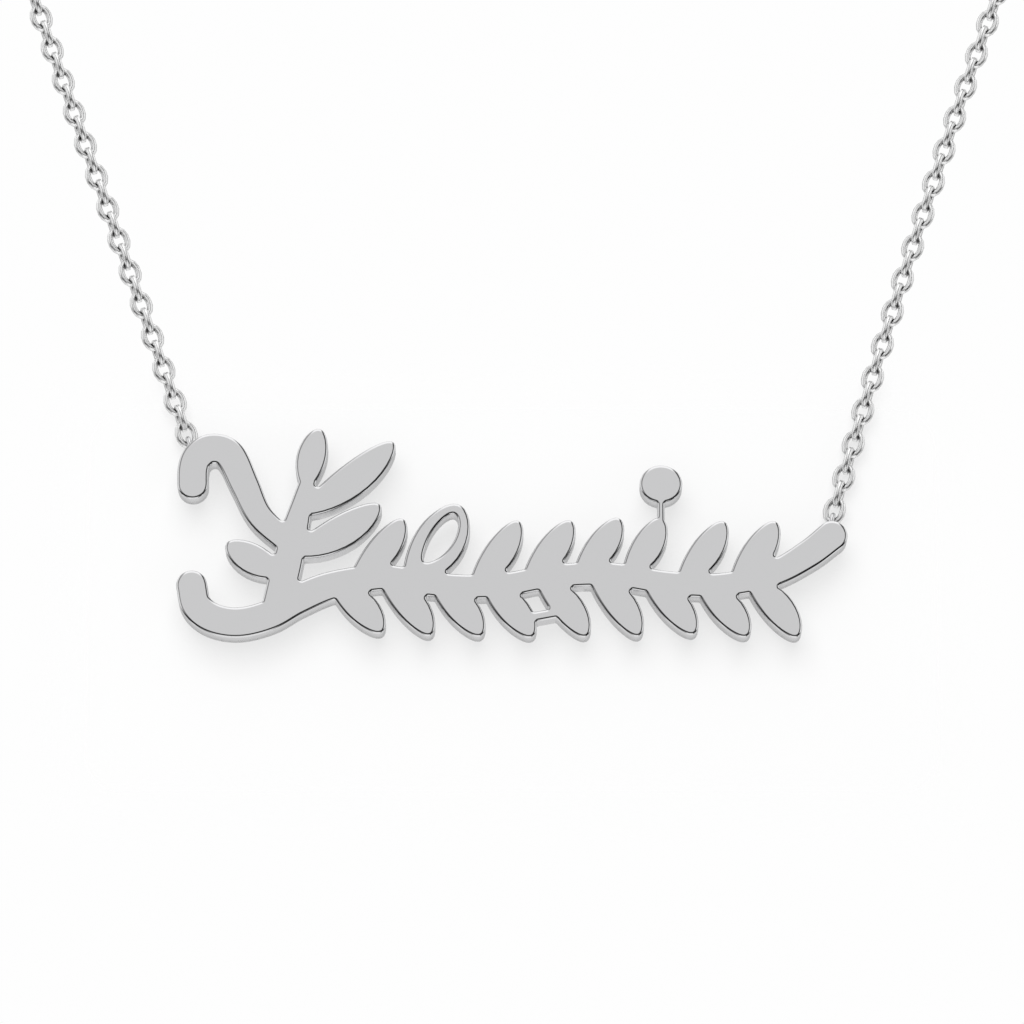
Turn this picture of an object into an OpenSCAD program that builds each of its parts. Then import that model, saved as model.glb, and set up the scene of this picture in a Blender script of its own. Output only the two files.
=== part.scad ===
// Nameplate necklace: a cut-out sheet plate with a leafy branch in place of lettering, hung
// between the two ends of a fine cable chain that closes in a spring ring clasp behind the neck.
// The necklace hangs in the XZ plane, its front towards -Y. The origin is the top of the loop.

/* [Nameplate] */
// Width of the plate from tip to tip
plate_w = 40; // [36:0.5:44]
// Height of the plate at its tall left sprig
plate_h = 12.9; // [11.5:0.1:14]
// Thickness of the sheet
plate_t = 1.5; // [1:0.1:2]
// Width of the branch at its widest
stroke_w = 1.85; // [1.6:0.05:2.1]
// Width of an ordinary leaf
leaf_w = 1.9; // [1.6:0.05:2.1]
// Metal left around the open leaf
open_rim = 0.85; // [0.7:0.05:0.95]
// Width of the bud disc
disc_w = 2.54; // [2:0.02:2.8]
// Height of the bud disc
disc_h = 2.32; // [1.8:0.02:2.6]
// Width of the post under the bud disc
post_w = 0.44; // [0.36:0.02:0.7]
// Bare length of the post between leaf tip and disc
post_len = 0.9; // [0.6:0.1:1.4]
// Width of the small link bar between two leaves
bar_w = 0.6; // [0.4:0.05:0.9]

/* [Soldered loops] */
// Outer diameter of each loop
loop_d = 1.5; // [1.4:0.05:1.9]
// Thickness and rim of each loop
loop_wire = 0.32; // [0.26:0.02:0.36]
// Clearance between a loop and the link in it
loop_gap = 0.15; // [0.12:0.01:0.2]
// Height of the left loop's centre above the metal that carries it
left_rise = 0.3; // [0.1:0.05:0.4]
// Height of the right loop's centre above the metal that carries it
right_rise = 0.2; // [0.05:0.05:0.35]

/* [Chain] */
// Length of the whole necklace, plate included
necklace_len = 457; // [400:1:520]
// Diameter of the link wire
wire_d = 0.34; // [0.3:0.01:0.36]
// Outer width of a link
link_w = 1.35; // [1.28:0.01:1.42]
// Distance from one link's centre to the next
link_pitch = 1.07; // [1.03:0.005:1.1]
// Clearance between neighbouring links
link_gap = 0.11; // [0.1:0.01:0.16]
// Twist of each strand about its own axis, degrees
link_twist = 12; // [0:1:14]
// Real links at the front of each strand
front_links = 117; // [61:2:117]
// Real links of each strand at the clasp
back_links = 3; // [1:2:3]
// Gap between the plate's back and the wire in front of it
back_gap = 0.18; // [0.15:0.01:0.3]

/* [Hang] */
// Slant of both strands from the vertical, degrees
slant = 19.2; // [14:0.1:24]
// Slant of the right strand where it leaves the plate, degrees
foot_slant = 15.6; // [12:0.1:24]
// Length over which the right strand turns from one slant to the other
foot_len = 32; // [20:1:50]

/* [Clasp] */
// Outer diameter of the spring ring
clasp_d = 5.5; // [5:0.1:7]
// Thickness of the spring ring's tube
clasp_wire = 1.1; // [0.9:0.1:1.3]
// Outer diameter of the clasp's own end loop
eye_d = 2.4; // [2.3:0.1:3]
// Outer diameter of the jump ring beside the clasp
clasp_ring_d = 2.8; // [2.7:0.1:3.4]
// Outer diameter of the ring that the clasp holds
end_ring_d = 3.4; // [3.2:0.1:4]
// Wire of the rings and of the clasp's end loop
ring_wire = 0.45; // [0.4:0.05:0.5]
// Diameter of the clasp's thumb knob
knob_d = 0.8; // [0.6:0.1:1]
// Height of the thumb knob above the spring ring
knob_h = 0.7; // [0.4:0.1:1]

/* [Hidden] */

// Columns of a stroke row: place as shares of plate_w and plate_h, width as a share of stroke_w
ACROSS = 0;
UP = 1;
WIDE = 2;

// The branch: a curl at the lower left, a low wave, and a tip that rises to the right loop
BRANCH = [
  [-0.4765, 0.248, 1.00],
  [-0.4690, 0.154, 1.00],
  [-0.4440, 0.092, 1.00],
  [-0.4050, 0.073, 1.00],
  [-0.3600, 0.109, 1.00],
  [-0.3200, 0.180, 1.00],
  [-0.2650, 0.250, 0.95],
  [-0.1900, 0.285, 0.85],
  [-0.1100, 0.250, 0.80],
  [-0.0250, 0.245, 0.80],
  [0.0600, 0.290, 0.80],
  [0.1450, 0.300, 0.80],
  [0.2300, 0.260, 0.80],
  [0.3100, 0.250, 0.80],
  [0.3850, 0.300, 0.85],
  [0.4400, 0.395, 0.95],
  [0.4765, 0.484, 1.00]
];

// The tall sprig's stem
STEM = [
  [-0.3520, 0.140, 0.90],
  [-0.3380, 0.300, 1.00],
  [-0.3240, 0.500, 0.90],
  [-0.3130, 0.640, 0.70],
  [-0.3050, 0.740, 0.55]
];

// The tendril that bends over to the left loop
TENDRIL = [
  [-0.3280, 0.440, 0.80],
  [-0.3740, 0.570, 0.85],
  [-0.3980, 0.720, 0.95],
  [-0.4160, 0.843, 1.00],
  [-0.4312, 0.891, 1.00],
  [-0.4527, 0.897, 1.00],
  [-0.4700, 0.858, 1.00],
  [-0.4760, 0.802, 1.00],
  [-0.4765, 0.730, 1.00]
];

// Columns of a leaf row: where its foot stands, counted in rows of its stroke, its lean and
// bend in degrees, its length as a share of plate_h and its width as a share of leaf_w
FOOT = 0;
LEAN = 1;
LONG = 2;
BROAD = 3;
BEND = 4;

UPPER_LEAVES = [
  [6.36, 38, 0.385, 1.00, 26],
  [7.40, 40, 0.440, 1.62, 32],
  [8.58, 44, 0.385, 1.00, 22],
  [9.50, 42, 0.365, 1.00, 22],
  [10.40, 40, 0.340, 1.00, 26],
  [11.25, 44, 0.330, 1.00, 28],
  [12.20, 43, 0.370, 1.00, 22],
  [13.20, 44, 0.365, 1.00, 22]
];
LOWER_LEAVES = [
  [5.92, -26, 0.330, 1.00, -34],
  [6.90, -32, 0.368, 1.00, -34],
  [7.88, -30, 0.340, 1.00, -34],
  [8.80, -30, 0.332, 1.00, -34],
  [9.72, -34, 0.362, 1.00, -32],
  [10.64, -36, 0.378, 1.00, -32],
  [11.58, -32, 0.355, 1.00, -32],
  [12.56, -30, 0.338, 1.00, -34],
  [13.50, -32, 0.357, 1.00, -34]
];
STEM_LEAVES = [
  [2.60, 28, 0.555, 1.10, 20],
  [1.50, 16, 0.480, 1.10, 26],
  [1.00, 158, 0.310, 1.00, -14],
  [3.60, 84, 0.300, 0.95, -14]
];
OPEN_LEAF = 1;
// Ends of the opening along the open leaf
OPEN_FROM = 0.28;
OPEN_TO = 0.88;
BUD_LEAF = 5;
BAR_LEAF = 3;
// Places of the link bar's ends along the two leaves that it joins
BAR_FROM = 0.70;
BAR_TO = 0.60;
// Rows of the strokes that carry the loops, and the direction of each loop from there
LEFT_LOOP_ROW = 6.2;
LEFT_LOOP_DIR = 108;
RIGHT_LOOP_DIR = 90;

// Fineness of the outlines
STEPS = 8;
LEAF_STEPS = 18;
CAP_STEPS = 16;
TUBE_SIDES = 8;
$fn = 32;

// Radius that the cutting leaves in the inner corners
FILLET = 0.12;

function rev(list) = [for (i = [len(list) - 1:-1:0]) list[i]];
function turned(a) = [cos(a), sin(a)];
function limit(v, low, high) = max(low, min(high, v));

// A point of a smooth curve through four rows, between the middle two
function smooth(a, b, c, d, t) =
  0.5 * (2 * b + (c - a) * t + (2 * a - 5 * b + 4 * c - d) * t * t
    + (3 * b - a - 3 * c + d) * t * t * t);

// Row i of a stroke in real sizes, run on past either end
function real_row(rows, i) = let (r = rows[limit(i, 0, len(rows) - 1)])
  [r[ACROSS] * plate_w, r[UP] * plate_h, r[WIDE] * stroke_w];
function row_past(rows, i) = let (last = len(rows) - 1)
  i < 0 ? 2 * real_row(rows, 0) - real_row(rows, 1)
  : i > last ? 2 * real_row(rows, last) - real_row(rows, last - 1)
  : real_row(rows, i);

// Place and width at any station of a stroke, counted in rows
function at_row(rows, s) = let (i = limit(floor(s), 0, len(rows) - 2))
  smooth(row_past(rows, i - 1), row_past(rows, i), row_past(rows, i + 1), row_past(rows, i + 2),
    s - i);
function centre_at(rows, s) = let (p = at_row(rows, s)) [p[0], p[1]];
function heading_at(rows, s) =
  let (step = 0.02, last = len(rows) - 1,
    d = centre_at(rows, min(s + step, last)) - centre_at(rows, max(s - step, 0)))
  atan2(d[1], d[0]);
function edge_at(rows, s, dir) = centre_at(rows, s) + at_row(rows, s)[2] / 2 * turned(dir);

// Outline of a stroke with round ends
function stations(rows) = [for (i = [0:STEPS * (len(rows) - 1)]) i / STEPS];
function stroke_side(rows, side) =
  [for (s = stations(rows)) edge_at(rows, s, heading_at(rows, s) + side * 90)];
function round_end(rows, s, from) =
  [for (k = [1:CAP_STEPS - 1]) edge_at(rows, s, heading_at(rows, s) + from - 180 * k / CAP_STEPS)];
function stroke_outline(rows) =
  concat(stroke_side(rows, 1), round_end(rows, len(rows) - 1, 90),
    rev(stroke_side(rows, -1)), round_end(rows, 0, -90));

// A leaf: its middle line is an arc, and its ends are round
function leaf_len(leaf) = leaf[LONG] * plate_h;
function leaf_mid(rows, leaf, t) =
  let (turn = leaf[BEND] * t, chord = leaf_len(leaf) * t * sin(turn / 2 + 0.001) / (turn / 2 + 0.001)
    * 180 / PI)
  centre_at(rows, leaf[FOOT]) + chord * turned(leaf[LEAN] + turn / 2);
function leaf_edge(rows, leaf, t, out) =
  leaf_mid(rows, leaf, t) + out * turned(leaf[LEAN] + leaf[BEND] * t + 90);
// The outline between two shares of the leaf's length, drawn in from its sides by rim
function leaf_outline(rows, leaf, from = 0, to = 1, rim = 0) =
  let (half_w = leaf[BROAD] * leaf_w / 2 - rim)
  [
    for (i = [0:2 * LEAF_STEPS - 1])
      let (share = (1 - cos(180 * i / LEAF_STEPS)) / 2, side = i < LEAF_STEPS ? 1 : -1)
      leaf_edge(rows, leaf, from + (to - from) * share,
        side * half_w * sqrt(sin(180 * pow(share, 1.1))))
  ];
function leaf_tip(rows, leaf) = leaf_mid(rows, leaf, 1);

// Lengths of link, loop and clasp along the strand
link_len = link_pitch * 1.005 + 2 * wire_d + link_gap;
loop_hold = loop_d / 2 - loop_wire - loop_gap - wire_d + link_len / 2;
clasp_r = clasp_d / 2;
eye_at = clasp_r + eye_d / 2 - ring_wire;
clasp_ring_at = eye_at + eye_d / 2 - 2 * ring_wire - link_gap + clasp_ring_d / 2;
end_ring_at = clasp_r - clasp_wire - link_gap - ring_wire + end_ring_d / 2;
left_last_at = clasp_ring_at + clasp_ring_d / 2 - ring_wire - link_gap - wire_d + link_len / 2;
right_last_at = end_ring_at + end_ring_d / 2 - ring_wire - link_gap - wire_d + link_len / 2;

// Centres of the soldered loops, from the plate's own foot and middle
left_loop = centre_at(TENDRIL, LEFT_LOOP_ROW)
  + (at_row(TENDRIL, LEFT_LOOP_ROW)[2] / 2 + left_rise) * turned(LEFT_LOOP_DIR);
right_loop = centre_at(BRANCH, len(BRANCH) - 1)
  + (at_row(BRANCH, len(BRANCH) - 1)[2] / 2 + right_rise) * turned(RIGHT_LOOP_DIR);

// Route of the chain from the left loop over the top to the right loop: a straight run up, one
// round turn, a straight run down, and the foot of the right strand. The two straight runs and
// the turn's radius follow from the chain's length and the places of the loops.
chain_len = necklace_len - (right_loop[0] - left_loop[0]);
up_dir = 90 + slant;
down_dir = -90 - slant;
foot_turn = slant - foot_slant;
function step(p, dir, dist, turn) =
  let (half = turn / 2, chord = abs(half) < 0.001 ? dist : dist * sin(half) / (half * PI / 180))
  p + chord * turned(dir + half);
foot_move = step([0, 0], down_dir, foot_len, foot_turn);
turn_angle = up_dir - down_dir;
turn_move = [sin(up_dir) - sin(down_dir), cos(down_dir) - cos(up_dir)];
gap_x = right_loop[0] - left_loop[0] - foot_move[0];
gap_z = right_loop[1] - left_loop[1] - foot_move[1];
col_up = [cos(up_dir), sin(up_dir), 1];
col_turn = [turn_move[0], turn_move[1], turn_angle * PI / 180];
col_down = [cos(down_dir), sin(down_dir), 1];
col_sum = [gap_x, gap_z, chain_len - foot_len];
function det(a, b, c) = a * cross(b, c);
whole = det(col_up, col_turn, col_down);
run_up = det(col_sum, col_turn, col_down) / whole;
turn_r = det(col_up, col_sum, col_down) / whole;
run_down = det(col_up, col_turn, col_sum) / whole;
turn_len = turn_r * turn_angle * PI / 180;

// Place and direction at a distance along the route, in the plate's frame
at_up = step(left_loop, up_dir, run_up, 0);
at_down = step(at_up, up_dir, turn_len, -turn_angle);
at_foot = step(at_down, down_dir, run_down, 0);
function along(s) =
  s < run_up ? [step(left_loop, up_dir, s, 0), up_dir]
  : s < run_up + turn_len
    ? let (d = s - run_up, a = -turn_angle * d / turn_len) [step(at_up, up_dir, d, a), up_dir + a]
  : s < chain_len - foot_len
    ? [step(at_down, down_dir, s - run_up - turn_len, 0), down_dir]
  : let (d = s - chain_len + foot_len, a = foot_turn * d / foot_len)
    [step(at_foot, down_dir, d, a), down_dir + a];

// The clasp's middle, and the highest point of the route, which is the origin
top_s = run_up + turn_len * up_dir / turn_angle;
top = along(top_s)[0];
clasp_s = top_s + (left_last_at - right_last_at) / 2;

// Both strands hold an odd number of links, so that each ends face on at both its ends
left_run = clasp_s - left_last_at - loop_hold;
right_run = chain_len - clasp_s - right_last_at - loop_hold;
left_steps = 2 * round(left_run / link_pitch / 2);
right_steps = 2 * round(right_run / link_pitch / 2);
function left_link_s(i) = loop_hold + left_run * i / left_steps;
function right_link_s(i) = chain_len - loop_hold - right_run * i / right_steps;

plate_y = -(plate_t + wire_d) / 2 - back_gap;

// Puts its children at a distance along the route, with X along the route and Z up or across it
module on_route(s, roll) {
  spot = along(s);
  translate([spot[0][0] - top[0], 0, spot[0][1] - top[1]])
    rotate([0, -spot[1], 0])
      rotate([roll, 0, 0])
        children();
}

module ring(outer, wire) {
  rotate_extrude()
    translate([(outer - wire) / 2, 0])
      circle(d = wire);
}

// A soldered loop stands on edge, its hole across the plate
module eye() {
  difference() {
    cylinder(d = loop_d, h = loop_wire, center = true);
    cylinder(d = loop_d - 2 * loop_wire, h = 2 * loop_wire, center = true);
  }
}

// A link lies flat in XY with its long way along X
module link() {
  bend_r = (link_w - wire_d) / 2;
  side = link_len - link_w;
  for (end = [0, 180])
    rotate([0, 0, end]) {
      translate([side / 2, 0, 0])
        rotate([0, 0, -90])
          rotate_extrude(angle = 180)
            translate([bend_r, 0])
              circle(d = wire_d);
      translate([-side / 2, bend_r, 0])
        rotate([0, 90, 0])
          cylinder(d = wire_d, h = side);
    }
}

// Every second link lies face on, the first and the last included
function roll_at(i) = (i % 2 == 0 ? 90 : 0) + link_twist;
module left_link(i) on_route(left_link_s(i), roll_at(i)) link();
module right_link(i) on_route(right_link_s(i), roll_at(i)) link();

// A plain tube between two distances along the route
module tube(from, to) {
  rings = ceil(abs(to - from) / (2.5 * link_w));
  points = [
    for (i = [0:rings])
      let (spot = along(from + (to - from) * i / rings), out = turned(spot[1] + 90))
      for (k = [0:TUBE_SIDES - 1])
        let (a = 360 * (k + 0.5) / TUBE_SIDES, r = link_w / 2 / cos(180 / TUBE_SIDES))
        [spot[0][0] - top[0] + r * cos(a) * out[0], r * sin(a),
          spot[0][1] - top[1] + r * cos(a) * out[1]]
  ];
  sides = [
    for (i = [0:rings - 1], k = [0:TUBE_SIDES - 1])
      let (a = i * TUBE_SIDES, n = (k + 1) % TUBE_SIDES)
      [a + n, a + TUBE_SIDES + n, a + TUBE_SIDES + k, a + k]
  ];
  near_cap = [for (k = [0:TUBE_SIDES - 1]) k];
  far_cap = [for (k = [0:TUBE_SIDES - 1]) rings * TUBE_SIDES + k];
  polyhedron(points, concat(sides, [rev(near_cap), far_cap]));
}

module plate_outline() {
  difference() {
    union() {
      polygon(stroke_outline(BRANCH));
      polygon(stroke_outline(STEM));
      polygon(stroke_outline(TENDRIL));
      for (leaf = UPPER_LEAVES)
        polygon(leaf_outline(BRANCH, leaf));
      for (leaf = LOWER_LEAVES)
        polygon(leaf_outline(BRANCH, leaf));
      for (leaf = STEM_LEAVES)
        polygon(leaf_outline(STEM, leaf));
      bud();
      link_bar();
    }
    polygon(leaf_outline(BRANCH, UPPER_LEAVES[OPEN_LEAF], OPEN_FROM, OPEN_TO, open_rim));
  }
}

// The round disc on its post, above a leaf's tip
module bud() {
  tip = leaf_tip(BRANCH, UPPER_LEAVES[BUD_LEAF]);
  translate(tip) {
    translate([0, post_len + disc_h / 2])
      polygon([for (k = [0:47]) [disc_w / 2 * cos(7.5 * k), disc_h / 2 * sin(7.5 * k)]]);
    translate([-post_w / 2, -leaf_w / 2])
      square([post_w, leaf_w / 2 + post_len + disc_h / 2]);
  }
}

// The small bar that ties two lower leaves together
module link_bar() {
  from = leaf_mid(BRANCH, LOWER_LEAVES[BAR_LEAF], BAR_FROM);
  to = leaf_mid(BRANCH, LOWER_LEAVES[BAR_LEAF + 1], BAR_TO);
  d = to - from;
  translate(from)
    rotate(atan2(d[1], d[0]))
      translate([0, -bar_w / 2])
        square([norm(d), bar_w]);
}

// The outline is grown and shrunk again, which rounds its inner corners
module nameplate() {
  color("silver") {
    translate([-top[0], plate_y + plate_t / 2, -top[1]])
      rotate([90, 0, 0])
        linear_extrude(plate_t)
          offset(r = -FILLET)
            offset(delta = FILLET)
              plate_outline();
    on_route(0, 0) eye();
    on_route(chain_len, 0) eye();
  }
}

module left_chain() {
  color("silver")
    for (i = [0:front_links - 1])
      left_link(i);
}

module right_chain() {
  color("silver")
    for (i = [0:front_links - 1])
      right_link(i);
}

// The tube runs from the last front link to the first of the links at the clasp
module left_back_chain() {
  reach = link_len / 2 + link_gap;
  color("silver") {
    tube(left_link_s(front_links - 1) + reach, left_link_s(left_steps - back_links + 1) - reach);
    for (i = [0:back_links - 1])
      left_link(left_steps - i);
  }
}

module right_back_chain() {
  reach = link_len / 2 + link_gap;
  color("silver") {
    tube(right_link_s(right_steps - back_links + 1) + reach, right_link_s(front_links - 1) - reach);
    for (i = [0:back_links - 1])
      right_link(right_steps - i);
  }
}

module clasp() {
  color("silver")
    on_route(clasp_s, 90) {
      ring(clasp_d, clasp_wire);
      translate([-eye_at, 0, 0]) ring(eye_d, ring_wire);
      rotate([0, 0, 60])
        translate([clasp_r - clasp_wire / 2, 0, 0])
          rotate([0, 90, 0])
            cylinder(d = knob_d, h = clasp_wire / 2 + knob_h);
    }
}

module clasp_ring() color("silver") on_route(clasp_s - clasp_ring_at, 0) ring(clasp_ring_d, ring_wire);

module end_ring() color("silver") on_route(clasp_s + end_ring_at, 0) ring(end_ring_d, ring_wire);

nameplate();
left_chain();
right_chain();
left_back_chain();
right_back_chain();
clasp();
clasp_ring();
end_ring();
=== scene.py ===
import math

import bmesh
import bpy
from mathutils import Matrix, Vector


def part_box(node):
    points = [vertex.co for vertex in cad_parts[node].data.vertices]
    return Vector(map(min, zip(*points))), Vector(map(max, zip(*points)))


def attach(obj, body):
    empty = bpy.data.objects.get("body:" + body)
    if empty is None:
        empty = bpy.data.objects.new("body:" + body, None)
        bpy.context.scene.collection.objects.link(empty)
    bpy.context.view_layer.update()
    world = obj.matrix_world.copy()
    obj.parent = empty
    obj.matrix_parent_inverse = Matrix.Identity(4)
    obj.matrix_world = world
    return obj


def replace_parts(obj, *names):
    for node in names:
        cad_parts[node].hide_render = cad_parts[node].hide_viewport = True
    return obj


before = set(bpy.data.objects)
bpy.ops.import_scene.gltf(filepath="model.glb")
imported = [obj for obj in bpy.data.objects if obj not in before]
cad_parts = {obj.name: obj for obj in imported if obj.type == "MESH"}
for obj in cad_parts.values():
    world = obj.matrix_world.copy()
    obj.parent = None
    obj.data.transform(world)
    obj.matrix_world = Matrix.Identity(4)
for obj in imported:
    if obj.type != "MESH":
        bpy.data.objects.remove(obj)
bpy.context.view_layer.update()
print("frame loaded")

mm = 0.001


# Colours are sRGB hex values
def srgb(code):
    shares = [int(code[i:i + 2], 16) / 255 for i in (1, 3, 5)]
    return [s / 12.92 if s <= 0.04045 else ((s + 0.055) / 1.055) ** 2.4 for s in shares] + [1]


# Adds one shader node: settings are its sockets' values or its own properties
def addNode(tree, kind, settings, links):
    node = tree.nodes.new("ShaderNode" + kind)
    for name, value in settings.items():
        if isinstance(name, int) or name in node.inputs:
            node.inputs[name].default_value = value
        else:
            setattr(node, name, value)
    for name, socket in links.items():
        tree.links.new(socket, node.inputs[name])
    return node


def newMaterial(name):
    material = bpy.data.materials.new(name)
    material.use_nodes = True
    material.node_tree.nodes.clear()
    return material, material.node_tree


def showSurface(tree, shader):
    addNode(tree, "OutputMaterial", {}, {"Surface": shader})


# Object coordinates with a grain size in millimetres along each axis
def grain(tree, size):
    place = addNode(tree, "TexCoord", {}, {})
    scale = [1 / (s * mm) for s in size]
    return addNode(tree, "Mapping", {"Scale": scale}, {"Vector": place.outputs["Object"]})


# Noise of that grain, from low to high
def speckle(tree, size, detail, low, high):
    noise = addNode(tree, "TexNoise", {"Scale": 1.0, "Detail": detail, "Roughness": 0.55},
                    {"Vector": grain(tree, size).outputs["Vector"]})
    reach = {"From Min": 0.3, "From Max": 0.7, "To Min": low, "To Max": high}
    return addNode(tree, "MapRange", reach, {"Value": noise.outputs["Fac"]})


silver = {
    "sheet": "#E3E3E4",
    "side": "#DEDEDF",
    "wire": "#FDFDFD",
    "cast": "#E2E2E3",
}


# Rhodium-plated sterling silver sheet, mirror polished: even grey reflections, with a very faint
# swell left by the buffing wheel and hairlines too fine to see one by one
def polishedSheet():
    material, tree = newMaterial("polished_rhodium_sheet")
    gloss = speckle(tree, (2.2, 2.2, 2.2), 3, 0.09, 0.13)
    swell = speckle(tree, (3.5, 3.5, 3.5), 1, 0, 1)
    # Real hairlines are 0.01 mm apart, and these are drawn as coarse as they need to show
    hairs = speckle(tree, (0.9, 0.9, 0.07), 2, 0, 1)
    wave = addNode(tree, "Bump", {"Strength": 0.06, "Distance": 0.02 * mm},
                   {"Height": swell.outputs["Result"]})
    brushed = addNode(tree, "Bump", {"Strength": 0.04, "Distance": 0.002 * mm},
                      {"Height": hairs.outputs["Result"], "Normal": wave.outputs["Normal"]})
    shader = addNode(tree, "BsdfPrincipled", {"Base Color": srgb(silver["sheet"]), "Metallic": 1.0},
                     {"Roughness": gloss.outputs["Result"], "Normal": brushed.outputs["Normal"]})
    showSurface(tree, shader.outputs["BSDF"])
    return material


# The sheet's side, cut by laser and only lightly tumbled: duller, with fine strokes across it
def laserCutSide():
    material, tree = newMaterial("laser_cut_rhodium_side")
    strokes = speckle(tree, (0.09, 1.6, 0.09), 2, 0, 1)
    gloss = speckle(tree, (0.3, 0.8, 0.3), 2, 0.24, 0.36)
    ribbed = addNode(tree, "Bump", {"Strength": 0.35, "Distance": 0.008 * mm},
                     {"Height": strokes.outputs["Result"]})
    shader = addNode(tree, "BsdfPrincipled", {"Base Color": srgb(silver["side"]), "Metallic": 1.0},
                     {"Roughness": gloss.outputs["Result"], "Normal": ribbed.outputs["Normal"]})
    showSurface(tree, shader.outputs["BSDF"])
    return material


# Drawn silver wire, plated and barrel polished: bright streaks that waver a little on each link,
# and painted shade that darkens the colour where one link hangs in the next
def drawnWire():
    material, tree = newMaterial("drawn_rhodium_wire")
    gloss = speckle(tree, (0.5, 0.5, 0.5), 2, 0.26, 0.33)
    swell = speckle(tree, (0.35, 0.35, 0.35), 2, 0, 1)
    wave = addNode(tree, "Bump", {"Strength": 0.2, "Distance": 0.02 * mm},
                   {"Height": swell.outputs["Result"]})
    # Painted shade: the less open the metal lies, to about a wire's width from it, the darker its
    # colour, and a nest is nearly black
    reach = addNode(tree, "AmbientOcclusion", {"Distance": 0.3 * mm, "samples": 8}, {})
    paintedShade = addNode(tree, "MapRange", {"From Min": 0.3, "From Max": 0.72, "To Min": 0.04},
                    {"Value": reach.outputs["AO"]})
    # The wire's colour, darkened by the painted shade
    shadedColour = addNode(tree, "Mix", {"data_type": "RGBA", "blend_type": "MULTIPLY", 0: 1.0,
                                 6: srgb(silver["wire"])}, {7: paintedShade.outputs["Result"]})
    shader = addNode(tree, "BsdfPrincipled", {"Metallic": 1.0},
                     {"Base Color": shadedColour.outputs[2], "Roughness": gloss.outputs["Result"],
                      "Normal": wave.outputs["Normal"]})
    showSurface(tree, shader.outputs["BSDF"])
    return material


# Stamped and tumbled silver of the clasp and rings: bright, with a slight peel under the plating
def tumbledSilver():
    material, tree = newMaterial("tumbled_rhodium_silver")
    gloss = speckle(tree, (0.9, 0.9, 0.9), 2, 0.12, 0.2)
    peel = speckle(tree, (0.25, 0.25, 0.25), 3, 0, 1)
    wave = addNode(tree, "Bump", {"Strength": 0.12, "Distance": 0.012 * mm},
                   {"Height": peel.outputs["Result"]})
    shader = addNode(tree, "BsdfPrincipled", {"Base Color": srgb(silver["cast"]), "Metallic": 1.0},
                     {"Roughness": gloss.outputs["Result"], "Normal": wave.outputs["Normal"]})
    showSurface(tree, shader.outputs["BSDF"])
    return material


sheetSilver = polishedSheet()
sideSilver = laserCutSide()
wireSilver = drawnWire()
claspSilver = tumbledSilver()
print("materials made")


# The chain hangs from two loops on the plate. Lengths are in millimetres, angles in degrees
necklace = {
    "length": 457,
    "leftLoop": (-19.4523, -169.2429),
    "rightLoop": (18.8667, -173.9804),
    "slant": 19.2,
    "footSlant": 15.6,
    "footLength": 32,
}


# A straight or evenly curved step from a place
def walk(place, direction, distance, turn):
    half = math.radians(turn / 2)
    chord = distance * (math.sin(half) / half if half else 1)
    angle = math.radians(direction) + half
    return place + chord * Vector((math.cos(angle), math.sin(angle)))


# The same route as the source: a straight run up, one round turn, a straight run down and a foot
def layRoute():
    start = Vector(necklace["leftLoop"])
    end = Vector(necklace["rightLoop"])
    chainLength = necklace["length"] - (end - start).x
    up = 90 + necklace["slant"]
    down = -up
    footTurn = necklace["slant"] - necklace["footSlant"]
    footMove = walk(Vector((0, 0)), down, necklace["footLength"], footTurn)
    gap = end - start - footMove
    turn = math.radians(up - down)
    upWay = Vector((math.cos(math.radians(up)), math.sin(math.radians(up))))
    downWay = Vector((math.cos(math.radians(down)), math.sin(math.radians(down))))
    # What the run up, the round turn's radius and the run down add to X, to Z and to the length
    sums = Matrix(((upWay.x, upWay.y - downWay.y, downWay.x),
                   (upWay.y, downWay.x - upWay.x, downWay.y),
                   (1, turn, 1)))
    aboveFoot = chainLength - necklace["footLength"]
    runUp, radius, runDown = sums.inverted() @ Vector((gap.x, gap.y, aboveFoot))
    return {
        "start": start,
        "up": up,
        "down": down,
        "turn": up - down,
        "footTurn": footTurn,
        "runUp": runUp,
        "turnLength": radius * turn,
        "runDown": runDown,
        "length": chainLength,
    }


route = layRoute()


# Place and heading at a distance along the route
def along(distance):
    upEnd = walk(route["start"], route["up"], route["runUp"], 0)
    rest = distance - route["runUp"]
    if rest < 0:
        return walk(route["start"], route["up"], distance, 0), route["up"]
    if rest < route["turnLength"]:
        turned = -route["turn"] * rest / route["turnLength"]
        return walk(upEnd, route["up"], rest, turned), route["up"] + turned
    turnEnd = walk(upEnd, route["up"], route["turnLength"], -route["turn"])
    rest -= route["turnLength"]
    if rest < route["runDown"]:
        return walk(turnEnd, route["down"], rest, 0), route["down"]
    footStart = walk(turnEnd, route["down"], route["runDown"], 0)
    rest -= route["runDown"]
    turned = route["footTurn"] * rest / necklace["footLength"]
    return walk(footStart, route["down"], rest, turned), route["down"] + turned


# A turn in degrees about one axis
def turnBy(degrees, axis):
    return Matrix.Rotation(math.radians(degrees), 4, axis)


# X along the route, rolled about it
def onRoute(distance, roll):
    place, heading = along(distance)
    centre = Matrix.Translation((place.x * mm, 0, place.y * mm))
    return centre @ turnBy(-heading, "Y") @ turnBy(roll, "X")


# Closes a bmesh into an object that rides on the root body
def finishPiece(bm, name, materials):
    mesh = bpy.data.meshes.new(name)
    bmesh.ops.recalc_face_normals(bm, faces=bm.faces)
    bm.to_mesh(mesh)
    bm.free()
    piece = bpy.data.objects.new(name, mesh)
    bpy.context.scene.collection.objects.link(piece)
    for material in materials:
        mesh.materials.append(material)
    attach(piece, "root")
    return piece


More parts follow.
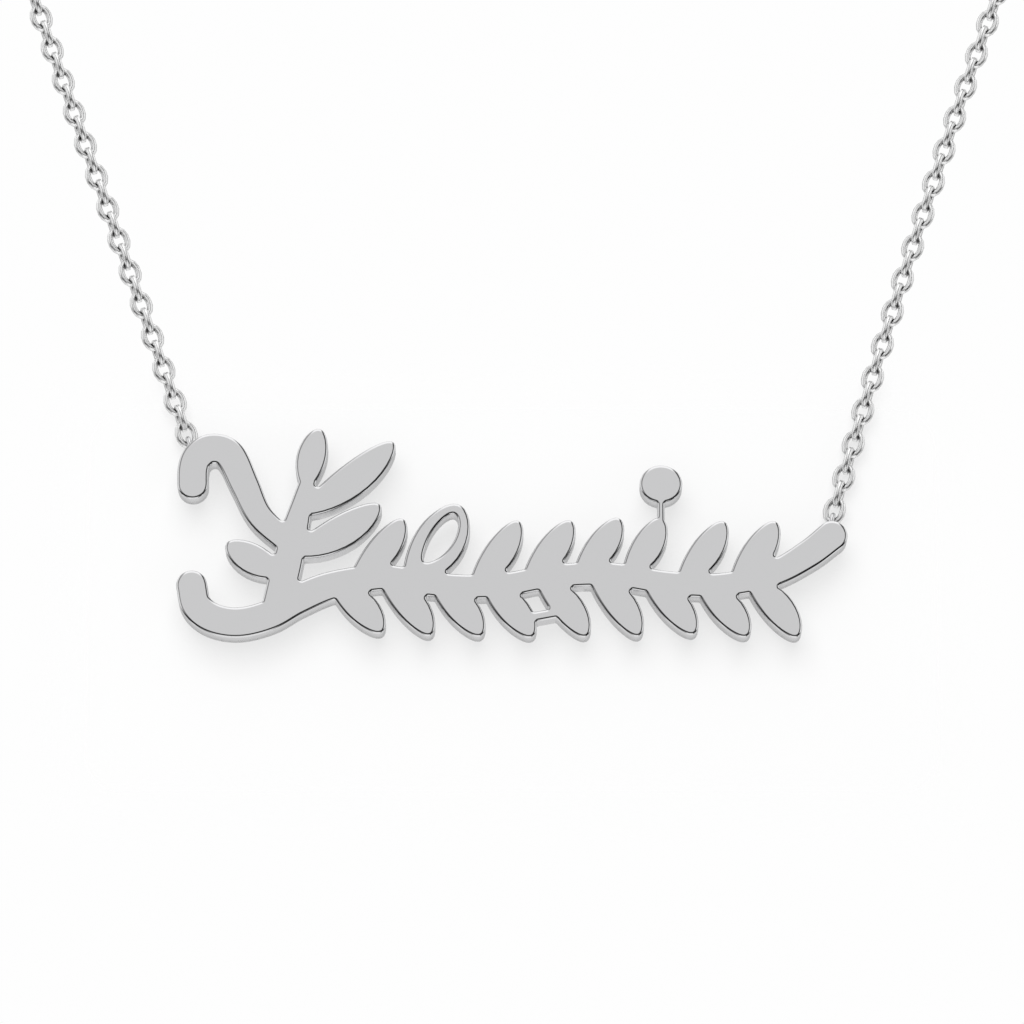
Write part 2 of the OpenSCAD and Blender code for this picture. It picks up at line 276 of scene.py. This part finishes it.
# Round wire bent about Z from the X axis: a whole ring, or an arc with its ends closed. Its facets
# are the steps along it and the sides round it
def bendWire(bm, outer, wire, sweep, facets):
    steps, sides = facets
    before = set(bm.verts)
    place = Matrix.Translation(((outer - wire) / 2, 0, 0)) @ turnBy(90, "X")
    section = bmesh.ops.create_circle(bm, segments=sides, radius=wire / 2, matrix=place)["verts"]
    edges = list({edge for vert in section for edge in vert.link_edges})
    bmesh.ops.spin(bm, geom=section + edges, cent=(0, 0, 0), axis=(0, 0, 1),
                   angle=math.radians(sweep), steps=steps, use_merge=sweep == 360)
    verts = [vert for vert in bm.verts if vert not in before]
    faces = {face for vert in verts for face in vert.link_faces}
    for face in faces:
        face.smooth = True
    ends = [edge for vert in verts for edge in vert.link_edges if edge.is_boundary]
    bmesh.ops.holes_fill(bm, edges=list(set(ends)), sides=sides)
    return verts


plate = {
    "thickness": 1.5,
    # The polished rim, in from the side and up from it: a quarter round, then a soft bevel
    "frontRim": ((0, 0), (0.007, 0.041), (0.025, 0.074), (0.048, 0.096), (0.069, 0.109),
                 (0.147, 0.136), (0.162, 0.1385), (0.175, 0.139)),
    "backRim": ((0, 0), (0.02, 0.05), (0.07, 0.07)),
    "weld": 0.001,  # points closer than this are one point
    "nearest": 0.035,  # outline points closer than this become one
    "flat": 0.99,  # how squarely a face of the node looks forward, to count as its front
    "square": 0.9,  # the same for the new faces and for the edges that cross the sheet
    "sharpTurn": 32,  # a side that turns more, in degrees, keeps a crisp corner
    "loop": 1.5,
    "loopWire": 0.32,
    "loopFacets": (40, 12),
    "loopGap": 0.15,  # from the loop to the link in it, in the source
}


# Rounds a flat cap's rim by insets that climb a profile
def roundRim(bm, cap, profile):
    for (across, up), (nextAcross, nextUp) in zip(profile, profile[1:]):
        bmesh.ops.inset_region(bm, faces=cap, use_boundary=True, use_even_offset=True,
                               thickness=(nextAcross - across) * mm, depth=(nextUp - up) * mm)


# The plate is cut again from the node's own front outline, with rounded rims
def makePlate():
    bm = bmesh.new()
    bm.from_mesh(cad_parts["nameplate"].data)
    bmesh.ops.remove_doubles(bm, verts=bm.verts, dist=plate["weld"] * mm)
    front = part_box("nameplate")[0].y + plate["weld"] * mm
    others = [face for face in bm.faces
              if face.normal.y > -plate["flat"] or face.calc_center_median().y > front]
    bmesh.ops.delete(bm, geom=others, context="FACES")
    bmesh.ops.remove_doubles(bm, verts=bm.verts, dist=plate["nearest"] * mm)
    cap = bm.faces[:]
    made = bmesh.ops.extrude_face_region(bm, geom=cap)["geom"]
    backVerts = [item for item in made if isinstance(item, bmesh.types.BMVert)]
    frontVerts = list({vert for face in cap for vert in face.verts})
    frontUp = plate["frontRim"][-1][1]
    backUp = plate["backRim"][-1][1]
    bmesh.ops.translate(bm, verts=backVerts, vec=(0, (plate["thickness"] - backUp) * mm, 0))
    bmesh.ops.translate(bm, verts=frontVerts, vec=(0, frontUp * mm, 0))
    bmesh.ops.recalc_face_normals(bm, faces=bm.faces)
    frontCap = [face for face in bm.faces if face.normal.y < -plate["square"]]
    backCap = [face for face in bm.faces if face.normal.y > plate["square"]]
    for face in bm.faces:
        face.smooth = True
        face.material_index = 0 if abs(face.normal.y) > plate["square"] else 1
    roundRim(bm, frontCap, plate["frontRim"])
    roundRim(bm, backCap, plate["backRim"])
    for edge in bm.edges:
        across = (edge.verts[1].co - edge.verts[0].co).normalized()
        corner = edge.calc_face_angle(0) > math.radians(plate["sharpTurn"])
        if corner and abs(across.y) > plate["square"]:
            edge.smooth = False
    for distance in (0, route["length"]):
        loop = bendWire(bm, plate["loop"] * mm, plate["loopWire"] * mm, 360, plate["loopFacets"])
        bmesh.ops.transform(bm, verts=loop, matrix=onRoute(distance, 0))
    piece = finishPiece(bm, "cut_out_plate", [sheetSilver, sideSilver])
    piece.modifiers.new("even_face", "WEIGHTED_NORMAL").keep_sharp = True
    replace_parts(piece, "nameplate")


makePlate()
print("plate made")

chain = {
    "wire": 0.34,
    "linkWidth": 1.35,
    "pitch": 1.07,
    "clearance": 0.11,  # between the source's links
    "spread": 1.003,  # the longest true distance between two links, counted in pitches
    "sourceSpread": 1.005,  # what the source's links allow for it
    "touch": 0.004,  # between the links shown here, which hang in each other
    "twist": 12,
    "oval": 0.4,  # how far the sides bow: 0 straight, 1 an ellipse
    "facets": (14, 6),
    "facetGain": 1.15,  # the six flats then lie where the round wire has its skin
}
clasp = {
    "ring": 5.5,
    "tube": 1.1,
    "ringFacets": (60, 20),
    "eye": 2.4,
    "eyeFacets": (32, 12),
    "jumpRing": 2.8,
    "endRing": 3.4,
    "jumpRingFacets": (40, 12),
    "wire": 0.45,
    "gate": 30,  # degrees of the ring that the sliding wire closes
    "slider": 0.72,
    "sliderSweep": 45,  # degrees: it reaches some way into the tube
    "sliderFacets": (10, 16),
    "knob": 0.8,
    "knobHeight": 0.7,
    "knobAngle": 60,
    # Neck, head and rounded top, as shares of the knob's radius and of its height
    "knobProfile": ((0.75, 0), (0.75, 0.62), (0.95, 0.7), (1, 0.78), (1, 0.88), (0.9, 0.96),
                    (0.7, 1), (0, 1)),
    "knobSteps": 24,
    "seam": 1.6,  # degrees left open where a jump ring's ends meet
    "seamTurn": 57.3,  # degrees from the strand to the seam
}

# Where things sit along the strand, as in the source
sourceLink = chain["pitch"] * chain["sourceSpread"] + 2 * chain["wire"] + chain["clearance"]
hold = plate["loop"] / 2 - plate["loopWire"] - plate["loopGap"] - chain["wire"] + sourceLink / 2
eyeAt = clasp["ring"] / 2 + clasp["eye"] / 2 - clasp["wire"]
jumpRingHold = clasp["eye"] / 2 - 2 * clasp["wire"] - chain["clearance"]
jumpRingAt = eyeAt + jumpRingHold + clasp["jumpRing"] / 2
endRingHold = clasp["ring"] / 2 - clasp["tube"] - chain["clearance"] - clasp["wire"]
endRingAt = endRingHold + clasp["endRing"] / 2
lastHold = -clasp["wire"] - chain["clearance"] - chain["wire"] + sourceLink / 2
leftLastAt = jumpRingAt + clasp["jumpRing"] / 2 + lastHold
rightLastAt = endRingAt + clasp["endRing"] / 2 + lastHold
topAt = route["runUp"] + route["turnLength"] * route["up"] / route["turn"]
claspAt = topAt + (leftLastAt - rightLastAt) / 2


# One link lies in XY: a ring drawn out along X into an oval
def makeLink():
    bm = bmesh.new()
    wire = chain["wire"] * chain["facetGain"]
    outer = chain["linkWidth"] + wire - chain["wire"]
    bendWire(bm, outer * mm, wire * mm, 360, chain["facets"])
    length = chain["pitch"] * chain["spread"] + 2 * chain["wire"] + chain["touch"]
    stretch = (length - chain["linkWidth"]) / 2 * mm
    # The ends move by the whole stretch, and the sides by more than an ellipse's share of it
    for vert in bm.verts:
        share = vert.co.x / math.hypot(vert.co.x, vert.co.y)
        bow = chain["oval"] / 2 * (1 - share ** 2)
        vert.co.x += stretch * share * (1.5 - share ** 2 / 2 - bow)
    mesh = bpy.data.meshes.new("link")
    bm.to_mesh(mesh)
    bm.free()
    return mesh


# A strand of links from its loop on the plate to its ring at the clasp
def makeStrand(name, first, last, nodes):
    link = makeLink()
    run = last - first
    count = 2 * round(abs(run) / chain["pitch"] / 2)
    bm = bmesh.new()
    for i in range(count + 1):
        roll = chain["twist"] + (90 if i % 2 == 0 else 0)
        placed = link.copy()
        placed.transform(onRoute(first + run * i / count, roll))
        bm.from_mesh(placed)
        bpy.data.meshes.remove(placed)
    piece = finishPiece(bm, name, [wireSilver])
    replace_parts(piece, *nodes)
    print(name, count + 1, "links")


makeStrand("left_strand", hold, claspAt - leftLastAt,
           ["left_chain", "left_back_chain"])
makeStrand("right_strand", route["length"] - hold, claspAt + rightLastAt,
           ["right_chain", "right_back_chain"])


# The knob that the thumb pulls: a turned head on a short neck, rising along Z
def makeKnob(bm):
    wide = clasp["knob"] / 2 * mm
    tall = (clasp["tube"] / 2 + clasp["knobHeight"]) * mm
    verts = [bm.verts.new((wide * out, 0, tall * up)) for out, up in clasp["knobProfile"]]
    edges = [bm.edges.new(pair) for pair in zip(verts, verts[1:])]
    before = set(bm.verts) - set(verts)
    bmesh.ops.spin(bm, geom=verts + edges, cent=(0, 0, 0), axis=(0, 0, 1),
                   angle=math.radians(360), steps=clasp["knobSteps"], use_merge=True)
    made = [vert for vert in bm.verts if vert not in before]
    bmesh.ops.remove_doubles(bm, verts=made, dist=plate["weld"] * mm)
    made = [vert for vert in bm.verts if vert not in before]
    for face in {face for vert in made for face in vert.link_faces}:
        face.smooth = True
    return made


# The spring ring: a hollow tube ring, the thinner wire that slides in it, and its end loop
def makeClasp():
    bm = bmesh.new()
    middle = clasp["ring"] - clasp["tube"]
    tube = bendWire(bm, clasp["ring"] * mm, clasp["tube"] * mm, 360 - clasp["gate"],
                    clasp["ringFacets"])
    bmesh.ops.transform(bm, verts=tube, matrix=turnBy(clasp["knobAngle"] + clasp["gate"], "Z"))
    slider = bendWire(bm, (middle + clasp["slider"]) * mm, clasp["slider"] * mm,
                      clasp["sliderSweep"], clasp["sliderFacets"])
    bmesh.ops.transform(bm, verts=slider, matrix=turnBy(clasp["knobAngle"], "Z"))
    eye = bendWire(bm, clasp["eye"] * mm, clasp["wire"] * mm, 360, clasp["eyeFacets"])
    bmesh.ops.translate(bm, verts=eye, vec=(-eyeAt * mm, 0, 0))
    knobPlace = (turnBy(clasp["knobAngle"], "Z") @ Matrix.Translation((middle / 2 * mm, 0, 0))
                 @ turnBy(90, "Y"))
    bmesh.ops.transform(bm, verts=makeKnob(bm), matrix=knobPlace)
    bmesh.ops.transform(bm, verts=bm.verts, matrix=onRoute(claspAt, 90))
    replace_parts(finishPiece(bm, "spring_ring", [claspSilver]), "clasp")


# A jump ring, cut from a coil, whose ends meet in a fine seam
def makeJumpRing(name, outer, distance, node):
    bm = bmesh.new()
    bendWire(bm, outer * mm, clasp["wire"] * mm, 360 - clasp["seam"], clasp["jumpRingFacets"])
    bmesh.ops.transform(bm, verts=bm.verts,
                        matrix=onRoute(distance, 0) @ turnBy(clasp["seamTurn"], "Z"))
    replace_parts(finishPiece(bm, name, [claspSilver]), node)


makeClasp()
makeJumpRing("jump_ring", clasp["jumpRing"], claspAt - jumpRingAt, "clasp_ring")
makeJumpRing("held_ring", clasp["endRing"], claspAt + endRingAt, "end_ring")
print("clasp and rings made")

studio = {
    "floorDrop": 120 * mm,
    "floorSize": 4.0,
    "floorColour": "#5C5C5C",
    "floorGlow": 0.87,  # floor and card are lit from behind, so that shadows on them stay pale
    "floorSolid": {"X": 0.3, "Y": 0.3},  # shares of its half size before it starts to fade
    "cardDistance": 0.8 * mm,
    "cardMargin": 9 * mm,
    "cardDrop": 3.5 * mm,  # below the plate's middle, so that the links' shadows stay faint
    "cardColour": "#7E7E7E",
    "cardGlow": 0.656,
    "cardSolid": {"X": 0.8, "Z": 0.6},
    "gone": 0.98,  # the share of the half size at which both have faded away
    "keySize": 0.45,
    "keyPower": 3.0,
    "keyPlace": (-0.06, -0.50, 0.02),
}


# Fades a stage surface out towards its own edges along the axes in solids
def edgeFade(tree, middle, half, solids):
    place = addNode(tree, "TexCoord", {}, {})
    fitted = {"vector_type": "TEXTURE", "Location": middle, "Scale": half}
    centred = addNode(tree, "Mapping", fitted, {"Vector": place.outputs["Object"]})
    parts = addNode(tree, "SeparateXYZ", {}, {"Vector": centred.outputs["Vector"]})
    shares = []
    for axis, solid in solids.items():
        size = addNode(tree, "Math", {"operation": "ABSOLUTE"}, {0: parts.outputs[axis]})
        fade = {"From Min": studio["gone"], "From Max": solid, "interpolation_type": "SMOOTHSTEP"}
        shares.append(addNode(tree, "MapRange", fade, {"Value": size.outputs[0]}))
    both = addNode(tree, "Math", {"operation": "MULTIPLY"},
                   {0: shares[0].outputs["Result"], 1: shares[1].outputs["Result"]})
    return both.outputs[0]


# A pale stage surface that shows only from its front
def stageMaterial(name, colour, glow, middle, half, solids):
    material, tree = newMaterial(name)
    side = addNode(tree, "NewGeometry", {}, {})
    matte = addNode(tree, "BsdfDiffuse", {"Color": srgb(colour)}, {})
    lit = addNode(tree, "Emission", {"Strength": glow}, {})
    clear = addNode(tree, "BsdfTransparent", {}, {})
    shown = addNode(tree, "AddShader", {}, {0: matte.outputs[0], 1: lit.outputs[0]})
    share = edgeFade(tree, middle, half, solids)
    faded = addNode(tree, "MixShader", {}, {0: share, 1: clear.outputs[0], 2: shown.outputs[0]})
    front = addNode(tree, "MixShader", {},
                    {0: side.outputs["Backfacing"], 1: faded.outputs[0], 2: clear.outputs[0]})
    showSurface(tree, front.outputs["Shader"])
    return material


# A square of one metre, then sized and placed
def stagePlane(name, size, matrix, material):
    bm = bmesh.new()
    bmesh.ops.create_grid(bm, x_segments=1, y_segments=1, size=0.5)
    bmesh.ops.scale(bm, verts=bm.verts, vec=size)
    bmesh.ops.transform(bm, verts=bm.verts, matrix=matrix)
    mesh = bpy.data.meshes.new(name)
    bm.to_mesh(mesh)
    bm.free()
    mesh.materials.append(material)
    plane = bpy.data.objects.new(name, mesh)
    bpy.context.scene.collection.objects.link(plane)
    return plane


# The floor, and behind the plate a card that takes its soft shadow
def makeStage():
    low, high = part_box("nameplate")
    middle = (low + high) / 2
    floorMiddle = Vector((0, 0, low.z - studio["floorDrop"]))
    floorHalf = Vector((studio["floorSize"] / 2,) * 3)
    floor = stagePlane("floor", 2 * floorHalf, Matrix.Translation(floorMiddle),
                       stageMaterial("matte_floor", studio["floorColour"], studio["floorGlow"],
                                     floorMiddle, floorHalf, studio["floorSolid"]))
    floor.visible_glossy = False
    cardMiddle = Vector((middle.x, studio["cardDistance"], middle.z - studio["cardDrop"]))
    cardHalf = (high - low) / 2 + Vector((studio["cardMargin"],) * 3)
    card = stagePlane("card", 2 * cardHalf.xzy, Matrix.Translation(cardMiddle) @ turnBy(90, "X"),
                      stageMaterial("white_card", studio["cardColour"], studio["cardGlow"],
                                    cardMiddle, cardHalf, studio["cardSolid"]))
    card.visible_glossy = False
    light = bpy.data.lights.new("softbox", "AREA")
    light.shape = "SQUARE"
    light.size = studio["keySize"]
    light.energy = studio["keyPower"]
    box = bpy.data.objects.new("softbox", light)
    box.location = studio["keyPlace"]
    aim = middle - Vector(studio["keyPlace"])
    box.rotation_euler = aim.to_track_quat("-Z", "Y").to_euler()
    bpy.context.scene.collection.objects.link(box)
    box.visible_camera = False
    box.visible_glossy = False


sky = {
    # Height of a direction, from -1 straight down to 1 straight up, and the light from there
    "front": ((-1, 1.0), (-0.62, 0.9), (-0.53, 0.05), (-0.2, 0.05), (-0.1, 0.7), (0.0, 0.76),
              (0.42, 0.76), (0.56, 1.05), (0.9, 1.25), (1, 1.1)),
    "back": ((-1, 0.95), (-0.6, 0.85), (-0.25, 0.76), (-0.1, 0.64), (0.3, 0.6), (0.6, 0.8),
             (1, 0.95)),
    # From -1 at the left to 1 at the right, in front
    "sides": ((-1, 1.3), (-0.74, 1.2), (-0.65, 0.4), (-0.42, 0.36), (-0.32, 1.0), (0.34, 1.0),
              (0.44, 0.06), (0.64, 0.06), (0.74, 1.2), (1, 1.3)),
    "blend": 0.3,  # how far to either side of the necklace's plane front and back mix
    "white": 0.99,
}


# Light that changes with a direction's share, along those stops
def lightRamp(tree, stops, socket):
    share = addNode(tree, "MapRange", {"From Min": -1.0, "From Max": 1.0}, {"Value": socket})
    ramp = addNode(tree, "ValToRGB", {}, {"Fac": share.outputs["Result"]})
    elements = ramp.color_ramp.elements
    while len(elements) < len(stops):
        elements.new(0.5)
    for element, (place, light) in zip(elements, stops):
        element.position = (place + 1) / 2
        element.color = (light, light, light, 1)
    return ramp.outputs["Color"]


# The studio around the necklace: a grey card in front, dark gaps beside and below it, bright above
# it, pale walls beyond, and plain white to the camera
def makeSky():
    world = bpy.data.worlds.new("studio")
    bpy.context.scene.world = world
    world.use_nodes = True
    tree = world.node_tree
    tree.nodes.clear()
    way = addNode(tree, "TexCoord", {}, {})
    parts = addNode(tree, "SeparateXYZ", {}, {"Vector": way.outputs["Generated"]})
    front = lightRamp(tree, sky["front"], parts.outputs["Z"])
    back = lightRamp(tree, sky["back"], parts.outputs["Z"])
    sides = lightRamp(tree, sky["sides"], parts.outputs["X"])
    lit = addNode(tree, "Mix", {"data_type": "RGBA", "blend_type": "MULTIPLY", 0: 1.0},
                  {6: front, 7: sides})
    behind = addNode(tree, "MapRange", {"From Min": -sky["blend"], "From Max": sky["blend"]},
                     {"Value": parts.outputs["Y"]})
    around = addNode(tree, "Mix", {"data_type": "RGBA"},
                     {0: behind.outputs["Result"], 6: lit.outputs[2], 7: back})
    studioLight = addNode(tree, "Background", {}, {"Color": around.outputs[2]})
    plainWhite = addNode(tree, "Background", {"Color": (sky["white"],) * 3 + (1,)}, {})
    ray = addNode(tree, "LightPath", {}, {})
    seen = addNode(tree, "MixShader", {},
                   {0: ray.outputs["Is Camera Ray"], 1: studioLight.outputs[0],
                    2: plainWhite.outputs[0]})
    addNode(tree, "OutputWorld", {}, {"Surface": seen.outputs[0]})


view = {
    "aboveFoot": 8.14 * mm,  # what it looks at, above the plate's lowest point
    "distance": 440 * mm,
    "elevation": -14,
    "frameWidth": 61.3 * mm,  # what the frame takes in at that distance
}


# From the front and a little below, where the plate's lower sides show
def makeCamera():
    data = bpy.data.cameras.new("camera")
    data.lens = data.sensor_width * view["distance"] / view["frameWidth"]
    camera = bpy.data.objects.new("camera", data)
    tilt = math.radians(view["elevation"])
    back = Vector((0, -math.cos(tilt), math.sin(tilt)))
    low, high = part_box("nameplate")
    target = Vector(((low.x + high.x) / 2, 0, low.z + view["aboveFoot"]))
    camera.location = target + view["distance"] * back
    camera.rotation_euler = (math.radians(90) - tilt, 0, 0)
    bpy.context.scene.collection.objects.link(camera)
    bpy.context.scene.camera = camera


makeStage()
makeSky()
makeCamera()
bpy.context.scene.view_settings.view_transform = "Standard"
print("studio made")
